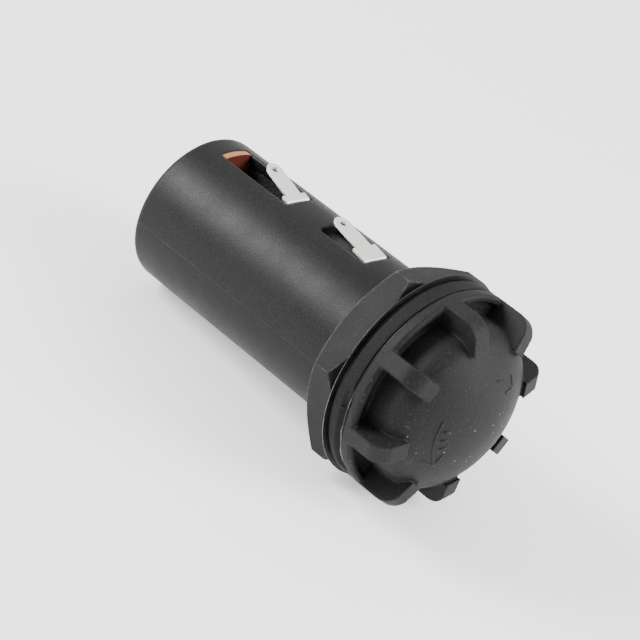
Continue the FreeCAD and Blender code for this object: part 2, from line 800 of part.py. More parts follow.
NODES = (
    "barrel", "hex_nut", "panel_gasket", "cap_seal", "cap", "carrier_clip", "fuse_carrier",
    "front_core", "middle_core", "rear_core", "front_contact", "rear_contact", "front_terminal",
    "rear_terminal", "lock_rings", "rear_plunger", "contact_spring", "rear_insulator", "rear_plug",
    "fuse_cap_front", "fuse_cap_rear", "fuse_tube", "fuse_element",
)

for item in doc.Objects:
    if "Invalid" in item.State or "Error" in item.State:
        raise RuntimeError("failed object: " + item.Label)
for node in NODES:
    shape = doc.getObjectsByLabel(node)[0].Shape
    if shape.isNull() or not shape.isValid():
        raise RuntimeError("bad shape: " + node)

os.makedirs("parts", exist_ok=True)
for node in NODES:
    doc.getObjectsByLabel(node)[0].Shape.exportStep("parts/%s.step" % node)
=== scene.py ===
import math

import bmesh
import bpy
import numpy as np
from mathutils import Matrix, Vector, noise


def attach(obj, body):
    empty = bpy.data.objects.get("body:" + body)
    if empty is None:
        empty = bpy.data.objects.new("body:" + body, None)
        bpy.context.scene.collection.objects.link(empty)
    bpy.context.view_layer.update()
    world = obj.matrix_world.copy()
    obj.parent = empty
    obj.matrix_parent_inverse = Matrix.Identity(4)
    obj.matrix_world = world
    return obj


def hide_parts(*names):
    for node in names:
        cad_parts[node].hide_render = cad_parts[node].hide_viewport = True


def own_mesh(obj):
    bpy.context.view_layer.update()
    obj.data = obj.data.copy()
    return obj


# Panel mounting cartridge fuse holder, in the row frame: the barrel's axis is Y, the cap is at -Y and the
# solder lugs are on the +Z side. Lengths in this script are in mm, except on the stage, where they are in
# metres. An angle round the axis is in degrees and counts from +Z towards -X.

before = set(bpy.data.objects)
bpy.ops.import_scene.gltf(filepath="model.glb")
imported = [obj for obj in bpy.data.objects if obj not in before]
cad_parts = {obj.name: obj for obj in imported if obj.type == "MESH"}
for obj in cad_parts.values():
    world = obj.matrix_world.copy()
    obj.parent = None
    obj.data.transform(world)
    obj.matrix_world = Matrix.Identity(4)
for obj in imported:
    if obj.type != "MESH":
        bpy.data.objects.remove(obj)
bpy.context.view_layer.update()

MM = 0.001
TINY = 1e-9

# Radii round the axis
BARREL_RADIUS = 14.0
FLANGE_RADIUS = 18.8
GASKET_RADIUS = 19.4
GASKET_BORE = 14.1
LIP_START = 18.15
SEAL_RADIUS = 18.55
SEAL_BORE = 14.3
DOME_RADIUS = 22.05

# Places along the axis, from the cap to the rear
CAP_FRONT = -16.9
CAP_REAR = -3.8
JOINT_CENTRE = -3.6
FLANGE_FRONT = -3.4
FLANGE_REAR = -0.8
LIP_ROOT = -0.22
LIP_FRONT = -0.2
PANEL_FACE = 0.0
NUT_REAR = 6.5
SPRING_FRONT = 41.5
SPRING_REAR = 49.0
BARREL_END = 55.0
BARREL_EDGE = 0.9   # length of the barrel's rounded rear edge


# ---------------------------------------------------------------- shapes

WELD_REACH = 0.002
SOFTEN_FACTOR = 0.5
LATHE_STEPS = 360
ROUND_STEPS = 5

# A bead from side to side, as shares of half its width and of its height
BEAD = ((-0.9, 0.45), (-0.45, 0.93), (0.0, 1.0), (0.45, 0.93), (0.9, 0.45))


def on_axis(radius, angle, along):
    """The point at a radius and an angle round the axis, at a place along it."""
    turn = math.radians(angle)
    return Vector((-radius * math.sin(turn), along, radius * math.cos(turn)))


def wander(place, pace, seed, layer=0.0):
    """Smooth noise along a line, from -1 to 1. A higher pace changes faster."""
    return noise.noise(Vector((place * pace, seed, layer)))


def ripple(angle, size, seed):
    """Smooth noise round the axis that closes on itself, from -1 to 1."""
    turn = math.radians(angle)
    return noise.noise(Vector((math.cos(turn) * size, math.sin(turn) * size, seed)))


def fade_ends(share):
    """1 in the middle of a line, falling to 0 at both ends."""
    return math.sqrt(max(math.sin(math.pi * share), 0.0))


def new_piece(name, points, faces, body, material):
    """A mesh object from points and faces, riding on a CAD body."""
    mesh = bpy.data.meshes.new(name)
    mesh.from_pydata([tuple(Vector(p) * MM) for p in points], [], faces)
    mesh.validate()
    mesh.shade_smooth()
    obj = bpy.data.objects.new(name, mesh)
    bpy.context.scene.collection.objects.link(obj)
    mesh.materials.append(material)
    face_out(mesh)
    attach(obj, body)
    return obj


def face_out(mesh):
    """Turn every face of a closed mesh outwards."""
    work = bmesh.new()
    work.from_mesh(mesh)
    bmesh.ops.recalc_face_normals(work, faces=work.faces)
    work.to_mesh(mesh)
    work.free()


def remoulded(name, node, voxel, passes, body, material):
    """The CAD node's shape with every edge softened, as a moulded or rumbled piece has."""
    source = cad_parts[node]
    mesh = source.data.copy()
    mesh.materials.clear()
    obj = bpy.data.objects.new(name, mesh)
    bpy.context.scene.collection.objects.link(obj)
    weld = obj.modifiers.new("weld", "WELD")
    weld.merge_threshold = WELD_REACH * MM
    skin = obj.modifiers.new("skin", "REMESH")
    skin.mode = "VOXEL"
    skin.voxel_size = voxel * MM
    skin.use_smooth_shade = True
    soften = obj.modifiers.new("soften", "SMOOTH")
    soften.factor = SOFTEN_FACTOR
    soften.iterations = passes
    depsgraph = bpy.context.evaluated_depsgraph_get()
    final = bpy.data.meshes.new_from_object(obj.evaluated_get(depsgraph))
    final.name = name
    obj.modifiers.clear()
    obj.data = final
    final.materials.clear()
    final.materials.append(material)
    final.shade_smooth()
    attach(obj, body)
    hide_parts(node)
    return obj


def vertices_of(mesh):
    """The vertices' places, in metres, and how far each is from the axis."""
    flat = np.zeros(len(mesh.vertices) * 3, np.float32)
    mesh.vertices.foreach_get("co", flat)
    points = flat.reshape(-1, 3).astype(float)
    return points, np.hypot(points[:, 0], points[:, 2])


def set_reach(mesh, points, reach, chosen, goal):
    """Move the chosen vertices straight out or in, to a distance from the axis in metres."""
    scale = np.where(chosen, goal / np.maximum(reach, TINY), 1.0)
    points[:, 0] *= scale
    points[:, 2] *= scale
    mesh.vertices.foreach_set("co", points.astype(np.float32).ravel())
    mesh.update()


def true_up(mesh, radius, low, high, slack):
    """Put the vertices that lie within slack of a cylinder exactly on it, from low to high along the axis."""
    points, reach = vertices_of(mesh)
    chosen = np.abs(reach - radius * MM) < slack * MM
    chosen &= (points[:, 1] > low * MM) & (points[:, 1] < high * MM)
    set_reach(mesh, points, reach, chosen, radius * MM)


def ring_faces(rings, size, joined):
    """Faces between rings of size points. The last ring is joined to the first, or both are capped."""
    faces = []
    for ring in range(rings if joined else rings - 1):
        here = ring * size
        there = ((ring + 1) % rings) * size
        for index in range(size):
            after = (index + 1) % size
            faces.append((here + index, here + after, there + after, there + index))
    if not joined:
        faces.append(tuple(range(size)))
        faces.append(tuple(range((rings - 1) * size, rings * size)))
    return faces


def lathe(name, section, trim, body, material):
    """A ring turned about the axis from a closed section of (radius, along).
    trim(radius, angle) says how far a point falls short of the section, as on a soft edge."""
    points = []
    for step in range(LATHE_STEPS):
        angle = 360.0 * step / LATHE_STEPS
        for radius, along in section:
            points.append(on_axis(radius - trim(radius, angle), angle, along))
    faces = ring_faces(LATHE_STEPS, len(section), joined=True)
    return new_piece(name, points, faces, body, material)


def rounded_section(corners):
    """A section through corners of (radius, along, round), with each corner rounded."""
    points = []
    count = len(corners)
    for index in range(count):
        here = Vector(corners[index][:2])
        before = Vector(corners[index - 1][:2])
        after = Vector(corners[(index + 1) % count][:2])
        size = corners[index][2]
        way_in = (before - here).normalized()
        way_out = (after - here).normalized()
        half = way_in.angle(way_out) / 2
        back = size / math.tan(half)
        centre = here + (way_in + way_out).normalized() * (size / math.sin(half))
        start = here + way_in * back - centre
        end = here + way_out * back - centre
        first = math.atan2(start.y, start.x)
        swing = math.remainder(math.atan2(end.y, end.x) - first, 2 * math.pi)
        for step in range(ROUND_STEPS + 1):
            turn = first + swing * step / ROUND_STEPS
            points.append((centre.x + size * math.cos(turn), centre.y + size * math.sin(turn)))
    return points


def ribbon(name, line, normals, width, height, sink, body, material):
    """A low raised bead along a line of points, sunk into the surface below it.
    width and height are each one number, or a list with one for each point."""
    count = len(line)
    widths = width if hasattr(width, "__len__") else [width] * count
    heights = height if hasattr(height, "__len__") else [height] * count
    points = []
    for index in range(count):
        ahead = line[min(index + 1, count - 1)] - line[max(index - 1, 0)]
        up = normals[index].normalized()
        side = up.cross(ahead).normalized()
        half = widths[index] / 2
        top = [(across, heights[index] * rise) for across, rise in BEAD]
        for across, rise in [(-1.0, -sink), *top, (1.0, -sink)]:
            points.append(line[index] + side * (across * half) + up * rise)
    faces = ring_faces(count, len(BEAD) + 2, joined=False)
    return new_piece(name, points, faces, body, material)


# ---------------------------------------------------------------- materials

class Surface:
    """A Principled material with helpers for the nodes that drive it."""

    def __init__(self, name, colour, roughness, metallic=0.0, specular=0.5):
        self.material = bpy.data.materials.new(name)
        self.material.use_nodes = True
        self.tree = self.material.node_tree
        self.shader = self.tree.nodes["Principled BSDF"]
        self.shader.inputs["Base Color"].default_value = (*colour, 1)
        self.shader.inputs["Roughness"].default_value = roughness
        self.shader.inputs["Metallic"].default_value = metallic
        self.shader.inputs["Specular IOR Level"].default_value = specular
        self.material.diffuse_color = (*colour, 1)
        self.place = self.tree.nodes.new("ShaderNodeTexCoord").outputs["Object"]
        self.height = None

    def link(self, source, goal):
        self.tree.links.new(source, goal)

    def stretched(self, along):
        """Coordinates drawn out along the axis by a factor."""
        node = self.tree.nodes.new("ShaderNodeMapping")
        node.inputs["Scale"].default_value = (1.0, 1.0 / along, 1.0)
        self.link(self.place, node.inputs["Vector"])
        return node.outputs["Vector"]

    def noise(self, size, detail=2.0, rough=0.5, place=None):
        """Noise with features about size across, from 0 to 1."""
        node = self.tree.nodes.new("ShaderNodeTexNoise")
        node.inputs["Scale"].default_value = 1000.0 / size
        node.inputs["Detail"].default_value = detail
        node.inputs["Roughness"].default_value = rough
        self.link(place or self.place, node.inputs["Vector"])
        return node.outputs["Fac"]

    def parts_of(self, vector):
        """The X, Y and Z of a vector."""
        node = self.tree.nodes.new("ShaderNodeSeparateXYZ")
        self.link(vector, node.inputs["Vector"])
        return node.outputs

    def end_cells(self, size):
        """Cells about size across, on the plane across the axis.
        Gives the distance to the point in each cell, and the cell's own number from 0 to 1."""
        across = self.parts_of(self.place)
        flat = self.tree.nodes.new("ShaderNodeCombineXYZ")
        self.link(across["X"], flat.inputs["X"])
        self.link(across["Z"], flat.inputs["Y"])
        node = self.tree.nodes.new("ShaderNodeTexVoronoi")
        node.voronoi_dimensions = "2D"
        node.inputs["Scale"].default_value = 1000.0 / size
        self.link(flat.outputs["Vector"], node.inputs["Vector"])
        return node.outputs["Distance"], self.parts_of(node.outputs["Color"])["X"]

    def near(self, place, reach):
        """1 at a place, falling to 0 at reach from it."""
        node = self.tree.nodes.new("ShaderNodeVectorMath")
        node.operation = "DISTANCE"
        node.inputs[1].default_value = tuple(length * MM for length in place)
        self.link(self.place, node.inputs[0])
        return self.ramp(node.outputs["Value"], 0.0, reach * MM, 1.0, 0.0)

    def ramp(self, source, low, high, start=0.0, end=1.0):
        """source from low to high, mapped to start to end and held outside."""
        node = self.tree.nodes.new("ShaderNodeMapRange")
        node.inputs["From Min"].default_value = low
        node.inputs["From Max"].default_value = high
        node.inputs["To Min"].default_value = start
        node.inputs["To Max"].default_value = end
        self.link(source, node.inputs["Value"])
        return node.outputs["Result"]

    def maths(self, operation, first, second):
        """A sum or product of two sockets or numbers."""
        node = self.tree.nodes.new("ShaderNodeMath")
        node.operation = operation
        for index, value in enumerate((first, second)):
            if isinstance(value, (int, float)):
                node.inputs[index].default_value = value
            else:
                self.link(value, node.inputs[index])
        return node.outputs[0]

    def mix(self, share, first, second):
        """Colour from first to second by share. Sockets 0, 6 and 7 are the share and the two colours."""
        node = self.tree.nodes.new("ShaderNodeMix")
        node.data_type = "RGBA"
        for index, value in ((0, share), (6, first), (7, second)):
            if isinstance(value, tuple):
                node.inputs[index].default_value = (*value, 1)
            else:
                self.link(value, node.inputs[index])
        return node.outputs[2]

    def edges(self, low, high):
        """1 on sharp convex edges, 0 elsewhere. Only a fine, even mesh gives a clean result."""
        node = self.tree.nodes.new("ShaderNodeNewGeometry")
        return self.ramp(node.outputs["Pointiness"], low, high)

    def colour(self, source):
        self.link(source, self.shader.inputs["Base Color"])

    def roughness(self, source):
        self.link(source, self.shader.inputs["Roughness"])

    def bump(self, source, depth):
        """Add relief of a depth."""
        node = self.tree.nodes.new("ShaderNodeBump")
        node.inputs["Strength"].default_value = 1.0
        node.inputs["Distance"].default_value = depth * MM
        self.link(source, node.inputs["Height"])
        if self.height is not None:
            self.link(self.height, node.inputs["Normal"])
        self.height = node.outputs["Normal"]
        self.link(self.height, self.shader.inputs["Normal"])


def times(factor, colour):
    """A colour made lighter or darker by a factor, up to white."""
    return tuple(min(1.0, factor * part) for part in colour)


CLOUD_SIZE = 9.0        # slow change of tone and gloss
FINER_GRAIN = 0.45      # size of the second grain, as a share of the first
PEAK_HIGHLIGHT_TONE = 3.8         # painted highlight: the grain's peaks are painted as if this many times lighter
PEAK_SHARE = 0.7
PORE_SHADE_TONE = 0.35        # painted shade: its pores are painted darker
# Size of the patches that break up the painted edge highlight
HIGHLIGHT_PATCH = 1.3
DULL_FADE = 0.3         # length over which the duller part ends
DULL_ROUGHNESS = 0.26   # how much rougher it is

DUST_CELL = 1.1         # at most one speck in each cell of this size
DUST_SPECK = (0.07, 0.10)   # where a speck starts to fade and ends, as shares of a cell
DUST_CHANCE = 0.01
DUST_CENTRE = (1.5, CAP_FRONT, -3.0)
DUST_REACH = 9.0        # specks are commoner within this of the centre
DUST_EXTRA = 0.2        # added chance at the centre
DUST_SHARE = 0.8
DUST_COLOUR = (0.42, 0.41, 0.37)


def moulded_plastic(name, dark, light, roughness, grain, depth, edge_highlight=None, specular=0.2,
                    dusty=False, dull_before=None):
    """Matt moulded plastic with fine spark-eroded grain and cloudy gloss, its tone between dark and light,
    with a painted highlight on the grain's peaks and painted shade in its pores.
    grain is the size of the grain and depth its relief.
    edge_highlight is the colour of a painted highlight on the edges and the sharpness where it starts and is
    full, for a fine mesh.
    dusty adds specks on the dome. In front of dull_before, a place along the axis, it is duller."""
    look = Surface(name, light, roughness, specular=specular)
    cloud = look.noise(CLOUD_SIZE, 3.0)
    fine = look.noise(grain, 2.0, 0.6)
    finer = look.noise(grain * FINER_GRAIN, 1.0)
    tone = look.mix(look.ramp(cloud, 0.3, 0.7), dark, light)
    # Painted highlight on the grain's peaks
    peak_highlight = look.ramp(fine, 0.54, 0.72)
    tone = look.mix(look.maths("MULTIPLY", peak_highlight, PEAK_SHARE), tone, times(PEAK_HIGHLIGHT_TONE, light))
    # Painted shade in the grain's pores
    pore_shade = look.ramp(finer, 0.32, 0.46, 0.6, 0.0)
    tone = look.mix(pore_shade, tone, times(PORE_SHADE_TONE, dark))
    if edge_highlight is not None:
        # Painted highlight: convex edges are painted lighter, in broken patches
        highlight_colour, edge_low, edge_high = edge_highlight
        broken = look.ramp(look.noise(HIGHLIGHT_PATCH, 3.0), 0.38, 0.62, 0.25, 1.0)
        edge_highlight_mask = look.maths("MULTIPLY", look.edges(edge_low, edge_high), broken)
        tone = look.mix(edge_highlight_mask, tone, highlight_colour)
    if dusty:
        distance, pick = look.end_cells(DUST_CELL)
        extra = look.ramp(look.near(DUST_CENTRE, DUST_REACH), 0.0, 1.0, 0.0, DUST_EXTRA)
        speck = look.ramp(distance, *DUST_SPECK, 1.0, 0.0)
        chosen = look.ramp(look.maths("ADD", pick, extra), 1.0 - DUST_CHANCE, 1.0)
        spot = look.maths("MULTIPLY", speck, chosen)
        tone = look.mix(look.maths("MULTIPLY", spot, DUST_SHARE), tone, DUST_COLOUR)
    look.colour(tone)
    shine = look.maths("ADD", look.ramp(cloud, 0.3, 0.7, roughness - 0.04, roughness + 0.05),
                       look.ramp(fine, 0.3, 0.7, -0.05, 0.06))
    if dull_before is not None:
        along = look.parts_of(look.place)["Y"]
        dull = look.ramp(along, dull_before * MM, (dull_before + DULL_FADE) * MM, DULL_ROUGHNESS, 0.0)
        shine = look.maths("ADD", shine, dull)
    look.roughness(shine)
    look.bump(fine, depth)
    look.bump(finer, depth * 0.5)
    look.bump(look.noise(4.0, 2.0), depth * 1.5)
    return look.material


def rubber(name, colour, roughness):
    """Smooth rubber with a faint bloom."""
    look = Surface(name, colour, roughness, specular=0.28)
    bloom = look.ramp(look.noise(3.5, 4.0), 0.4, 0.75)
    look.colour(look.mix(look.maths("MULTIPLY", bloom, 0.2), colour, (0.04, 0.039, 0.038)))
    look.roughness(look.ramp(look.noise(0.8, 3.0), 0.3, 0.7, roughness - 0.06, roughness + 0.1))
    look.bump(look.noise(0.5, 2.0), depth=0.001)
    return look.material


def metal(name, colour, roughness, tarnish, grain=0.12, draw=9.0, depth=0.003):
    """Sheet or turned metal: fine lines drawn out along the axis, tarnish in patches and a painted highlight
    on the edges.
    grain is the width of the lines, draw how many times longer they are and depth their relief."""
    look = Surface(name, colour, roughness, metallic=1.0)
    lines = look.noise(grain, 2.0, 0.6, look.stretched(draw))
    patch = look.noise(2.2, 4.0, 0.6)
    tone = look.mix(look.ramp(patch, 0.48, 0.78, 0.0, 0.65), colour, tarnish)
    # Painted highlight: the edges are painted lighter than the metal
    look.colour(look.mix(look.edges(0.52, 0.60), tone, times(1.25, colour)))
    look.roughness(look.maths("ADD", look.ramp(lines, 0.3, 0.7, roughness - 0.06, roughness + 0.06),
                              look.ramp(patch, 0.4, 0.8, 0.0, 0.14)))
    look.bump(lines, depth)
    return look.material


def fibre_board(name, face, edge):
    """Pressed fibre with flecks: its rim is lighter than its faces across the axis, partly its own edge
    colour and partly painted light on the lit rim and painted shade on the faces.
    """
    look = Surface(name, face, 0.62, specular=0.35)
    normal = look.tree.nodes.new("ShaderNodeNewGeometry").outputs["Normal"]
    # The tone follows which way the surface faces: painted light on the rim, painted shade on the faces
    flat = look.ramp(look.maths("ABSOLUTE", look.parts_of(normal)["Y"], 0.0), 0.4, 0.7)
    fleck = look.noise(0.5, 4.0, 0.65)
    lit_rim_tone = look.mix(look.ramp(fleck, 0.35, 0.7), times(0.72, edge), edge)
    shaded_face_tone = look.mix(look.ramp(fleck, 0.3, 0.75), times(0.55, face), face)
    look.colour(look.mix(flat, lit_rim_tone, shaded_face_tone))
    look.roughness(look.ramp(fleck, 0.3, 0.7, 0.55, 0.75))
    look.bump(fleck, depth=0.03)
    return look.material


def fired_ceramic(name, colour):
    """Unglazed ceramic with faint darker flecks."""
    look = Surface(name, colour, 0.6)
    fleck = look.noise(0.4, 4.0)
    look.colour(look.mix(look.ramp(fleck, 0.5, 0.8, 0.0, 0.5), colour, times(0.8, colour)))
    look.roughness(look.ramp(fleck, 0.3, 0.7, 0.5, 0.7))
    look.bump(fleck, depth=0.01)
    return look.material


barrel_black = moulded_plastic(
    "barrel_black", dark=(0.0050, 0.0052, 0.0054), light=(0.0070, 0.0073, 0.0076),
    roughness=0.46, grain=0.30, depth=0.026, edge_highlight=((0.030, 0.030, 0.030), 0.515, 0.60),
    dull_before=PANEL_FACE)
cap_black = moulded_plastic(
    "cap_black", dark=(0.0062, 0.0062, 0.0059), light=(0.0092, 0.0092, 0.0087),
    roughness=0.60, grain=0.32, depth=0.036, edge_highlight=((0.035, 0.035, 0.033), 0.530, 0.64),
    specular=0.22, dusty=True)
nut_black = moulded_plastic(
    "nut_black", dark=(0.0078, 0.0078, 0.0074), light=(0.0112, 0.0112, 0.0105),
    roughness=0.62, grain=0.32, depth=0.030, edge_highlight=((0.058, 0.058, 0.055), 0.508, 0.530))
core_grey = moulded_plastic(
    "core_grey", dark=(0.012, 0.0125, 0.013), light=(0.018, 0.0185, 0.019),
    roughness=0.5, grain=0.4, depth=0.012, specular=0.3)
gasket_black = rubber("gasket_black", (0.006, 0.006, 0.006), 0.42)
# Painted highlight: pale rubber for the bead that stands in for light on the gasket's lip
lip_highlight_grey = rubber("lip_highlight_grey", (0.22, 0.22, 0.21), 0.45)
flash_pale = rubber("flash_pale", (0.34, 0.33, 0.31), 0.5)
tin = metal("tin", (0.84, 0.84, 0.80), 0.50, (0.70, 0.70, 0.66), grain=0.14, draw=3.0, depth=0.004)
bright_steel = metal("bright_steel", (0.62, 0.62, 0.63), 0.24, (0.42, 0.41, 0.40))
yellow_brass = metal("yellow_brass", (0.78, 0.58, 0.27), 0.28, (0.50, 0.35, 0.16))
nickel = metal("nickel", (0.72, 0.70, 0.66), 0.24, (0.52, 0.50, 0.46))
silvered = metal("silvered", (0.86, 0.85, 0.83), 0.3, (0.62, 0.60, 0.56))
# face carries painted shade and edge painted light, over the fibre's own red-brown
fibre = fibre_board("fibre", face=(0.110, 0.010, 0.003), edge=(0.42, 0.185, 0.080))
ceramic = fired_ceramic("ceramic", (0.86, 0.84, 0.79))

NODE_LOOKS = {
    "fuse_carrier": core_grey, "front_core": core_grey, "middle_core": core_grey, "rear_core": core_grey,
    "carrier_clip": bright_steel, "lock_rings": bright_steel,
    "front_contact": yellow_brass, "rear_contact": yellow_brass, "rear_plunger": yellow_brass,
    "rear_insulator": fibre, "fuse_cap_front": nickel, "fuse_cap_rear": nickel,
    "fuse_tube": ceramic, "fuse_element": silvered,
}
for node, material in NODE_LOOKS.items():
    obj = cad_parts[node]
    obj.data.materials.clear()
    obj.data.materials.append(material)
    obj.data.shade_smooth()


# ---------------------------------------------------------------- barrel and rear plug

TRUE_SLACK = 0.05

# The seal stands proud between these angles, where the joint of flange and cap is eased back
JOINT_START, JOINT_END = 78.0, 134.0
JOINT_FADE_IN, JOINT_FADE_OUT = 14.0, 5.0
JOINT_HALF = 1.4        # vertices further than this from the joint's centre stay
JOINT_FADE = 0.25       # the easing fades out over this share of its depth
JOINT_INNER = 18.15     # radius that the easing reaches in to

SEAM_STEP = 0.35
SEAM_WIDTH = 0.22
SEAM_HEIGHT = 0.05
SEAM_SINK = 0.12
SEAM_DRIFT = 0.25       # degrees
SEAM_LEFT, SEAM_RIGHT = 91.5, -88.5


def open_joint(mesh, corner, depth):
    """Ease back the outer corner at the joint of flange and cap, where the seal stands proud.
    corner is the corner's place along the axis and depth how far the easing reaches from it."""
    points, reach = vertices_of(mesh)
    angle = np.degrees(np.arctan2(-points[:, 0], points[:, 2]))
    share = np.clip((angle - JOINT_START) / JOINT_FADE_IN, 0, 1)
    share = share * np.clip((JOINT_END - angle) / JOINT_FADE_OUT, 0, 1)
    away = np.abs(points[:, 1] - corner * MM) / (depth * MM)
    share *= np.clip((1.0 + JOINT_FADE - away) / JOINT_FADE, 0, 1)
    inner = JOINT_INNER * MM
    chosen = (reach > inner) & (np.abs(points[:, 1] - JOINT_CENTRE * MM) < JOINT_HALF * MM)
    set_reach(mesh, points, reach, chosen, reach - share * (reach - inner))


def seam_along(name, angle, start, end, radius, seed):
    """A mould's parting line: a thin bead along the axis, broken where it was scraped off."""
    count = max(8, int((end - start) / SEAM_STEP))
    line, normals, widths, heights = [], [], [], []
    for index in range(count):
        along = start + (end - start) * index / (count - 1)
        drift = SEAM_DRIFT * wander(along, 0.4, seed)
        line.append(on_axis(radius, angle + drift, along))
        normals.append(on_axis(1.0, angle + drift, 0.0))
        strong = 0.55 + 0.9 * wander(along, 0.9, seed, layer=4.0)
        widths.append(SEAM_WIDTH * min(max(strong + 0.5, 0.5), 1.2))
        heights.append(SEAM_HEIGHT * min(max(strong, 0.15), 1.0))
    return ribbon(name, line, normals, widths, heights, SEAM_SINK, "housing", barrel_black)


barrel = remoulded("barrel_moulding", "barrel", 0.28, 3, "housing", barrel_black)
true_up(barrel.data, BARREL_RADIUS, NUT_REAR + 0.3, BARREL_END - BARREL_EDGE, TRUE_SLACK)
true_up(barrel.data, FLANGE_RADIUS, FLANGE_FRONT + 0.25, FLANGE_REAR - 0.7, TRUE_SLACK)
open_joint(barrel.data, corner=FLANGE_FRONT, depth=0.75)

remoulded("rear_plug_moulding", "rear_plug", 0.2, 3, "housing", barrel_black)

for seam in (
    ("barrel_seam_left", SEAM_LEFT, NUT_REAR + 0.2, BARREL_END - BARREL_EDGE, BARREL_RADIUS, 1.0),
    ("barrel_seam_right", SEAM_RIGHT, NUT_REAR + 0.2, BARREL_END - BARREL_EDGE, BARREL_RADIUS, 2.0),
    ("flange_seam_left", SEAM_LEFT, FLANGE_FRONT + 0.3, FLANGE_REAR - 0.8, FLANGE_RADIUS - 0.06, 3.0),
    ("flange_seam_right", SEAM_RIGHT, FLANGE_FRONT + 0.3, FLANGE_REAR - 0.8, FLANGE_RADIUS - 0.06, 5.0),
):
    seam_along(*seam)


# ---------------------------------------------------------------- nut, gasket and seal

LIP_OFF_CENTRE = 0.13   # how far off centre the gasket's lip sits
LIP_PROUD_SIDE = 60.0   # the angle at which it stands furthest out
LIP_RAG = 0.02
SEAL_RAG = 0.06

# Where the painted highlight bead sits on the gasket's lip
LIP_EDGE_PLACE = -0.11
LIP_EDGE_INSET = 0.012
LIP_EDGE_HEIGHT = 0.012
LIP_EDGE_SINK = 0.05
LIP_EDGE_STEPS = 2      # to a degree

FLASH_STEP = 0.35       # degrees
FLASH_INSET = 0.25
FLASH_SINK = 0.2
FLASH_LEAST = 0.03


def gasket_trim(radius, angle):
    """The gasket's lip sits a little off centre and its edge isn't quite round."""
    if radius < LIP_START:
        return 0.0
    off_centre = LIP_OFF_CENTRE - LIP_OFF_CENTRE * math.cos(math.radians(angle - LIP_PROUD_SIDE))
    return off_centre + LIP_RAG + LIP_RAG * ripple(angle, 4.0, 1.0)


def seal_trim(radius, angle):
    """The seal's outer edge isn't quite round."""
    return SEAL_RAG + SEAL_RAG * ripple(angle, 9.0, 7.0) if radius > LIP_START else 0.0


def lip_highlight_bead(name, start, end, seed):
    """A painted highlight along part of the gasket's lip: a pale bead where its rim catches the light."""
    count = int(end - start) * LIP_EDGE_STEPS
    line, normals, widths = [], [], []
    for index in range(count):
        share = index / (count - 1)
        angle = start + (end - start) * share
        radius = GASKET_RADIUS - gasket_trim(GASKET_RADIUS, angle) - LIP_EDGE_INSET
        line.append(on_axis(radius, angle, LIP_EDGE_PLACE))
        normals.append(on_axis(1.0, angle, 0.0))
        widths.append(0.03 + fade_ends(share) * (0.10 + 0.05 * wander(angle, 0.3, seed)))
    return ribbon(name, line, normals, widths, LIP_EDGE_HEIGHT, LIP_EDGE_SINK,
                  "housing", lip_highlight_grey)


def seal_flash(name, start, end, seed, low, high):
    """A pale ragged skin at the seal's edge, between the flange and the cap.
    It runs from angle start to end while its place along the axis goes from low to high."""
    count = int((end - start) / FLASH_STEP)
    line, normals, widths, heights = [], [], [], []
    for index in range(count):
        share = index / (count - 1)
        angle = start + (end - start) * share
        rag = wander(angle, 0.12, seed)
        fine = wander(angle, 0.8, seed, layer=8.0)
        along = low + (high - low) * share + 0.25 * rag + 0.08 * fine
        line.append(on_axis(SEAL_RADIUS - FLASH_INSET, angle, along))
        normals.append(on_axis(1.0, angle, 0.0))
        widths.append(0.08 + 0.10 * abs(fine))
        heights.append(max(FLASH_LEAST, (0.29 + 0.10 * rag + 0.08 * fine) * fade_ends(share)))
    return ribbon(name, line, normals, widths, heights, FLASH_SINK, "housing", flash_pale)


remoulded("hex_nut_moulding", "hex_nut", 0.18, 3, "nut", nut_black)

gasket = lathe("gasket_ring", rounded_section([
    (GASKET_BORE, FLANGE_REAR, 0.1), (LIP_START - 0.1, FLANGE_REAR, 0.1), (LIP_START, LIP_ROOT, 0.05),
    (GASKET_RADIUS, LIP_FRONT, 0.07), (GASKET_RADIUS, PANEL_FACE, 0.07), (GASKET_BORE, PANEL_FACE, 0.1),
]), gasket_trim, "housing", gasket_black)
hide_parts("panel_gasket")

seal = lathe("seal_ring", rounded_section([
    (SEAL_BORE, CAP_REAR, 0.08), (SEAL_RADIUS, CAP_REAR, 0.15),
    (SEAL_RADIUS, FLANGE_FRONT, 0.15), (SEAL_BORE, FLANGE_FRONT, 0.08),
]), seal_trim, "housing", gasket_black)
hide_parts("cap_seal")

# Painted highlights along the gasket's lip
lip_highlight_bead("gasket_lip_highlight_left", 52.0, 172.0, seed=4.0)
lip_highlight_bead("gasket_lip_highlight_right", -130.0, -30.0, seed=9.0)
seal_flash("seal_flash_a", 96.0, 131.0, seed=2.0, low=-3.65, high=-3.35)
seal_flash("seal_flash_b", 84.0, 92.0, seed=11.0, low=JOINT_CENTRE, high=JOINT_CENTRE)


# ---------------------------------------------------------------- cap

MARK_WIDTH = 0.42
MARK_HEIGHT = 0.14
MARK_SINK = 0.25
SHAFT_POINTS = 24
BARB_STEPS = 6
BARB_SPREAD = 0.8       # how far a barb stands out, as a share of its length


def on_dome(radius, angle):
    """The point on the dome at a radius and an angle, and its outward normal."""
    centre = Vector((0.0, CAP_FRONT + DOME_RADIUS, 0.0))
    drop = math.sqrt(DOME_RADIUS ** 2 - radius ** 2)
    point = on_axis(radius, angle, centre.y - drop)
    return point, (point - centre).normalized()


def dome_mark(name, places):
    """A raised stroke on the dome through (radius, angle) places."""
    line, normals = [], []
    for radius, angle in places:
        point, up = on_dome(radius, angle)
        line.append(point)
        normals.append(up)
    return ribbon(name, line, normals, MARK_WIDTH, MARK_HEIGHT, MARK_SINK,
                  "screw_cap", cap_black)


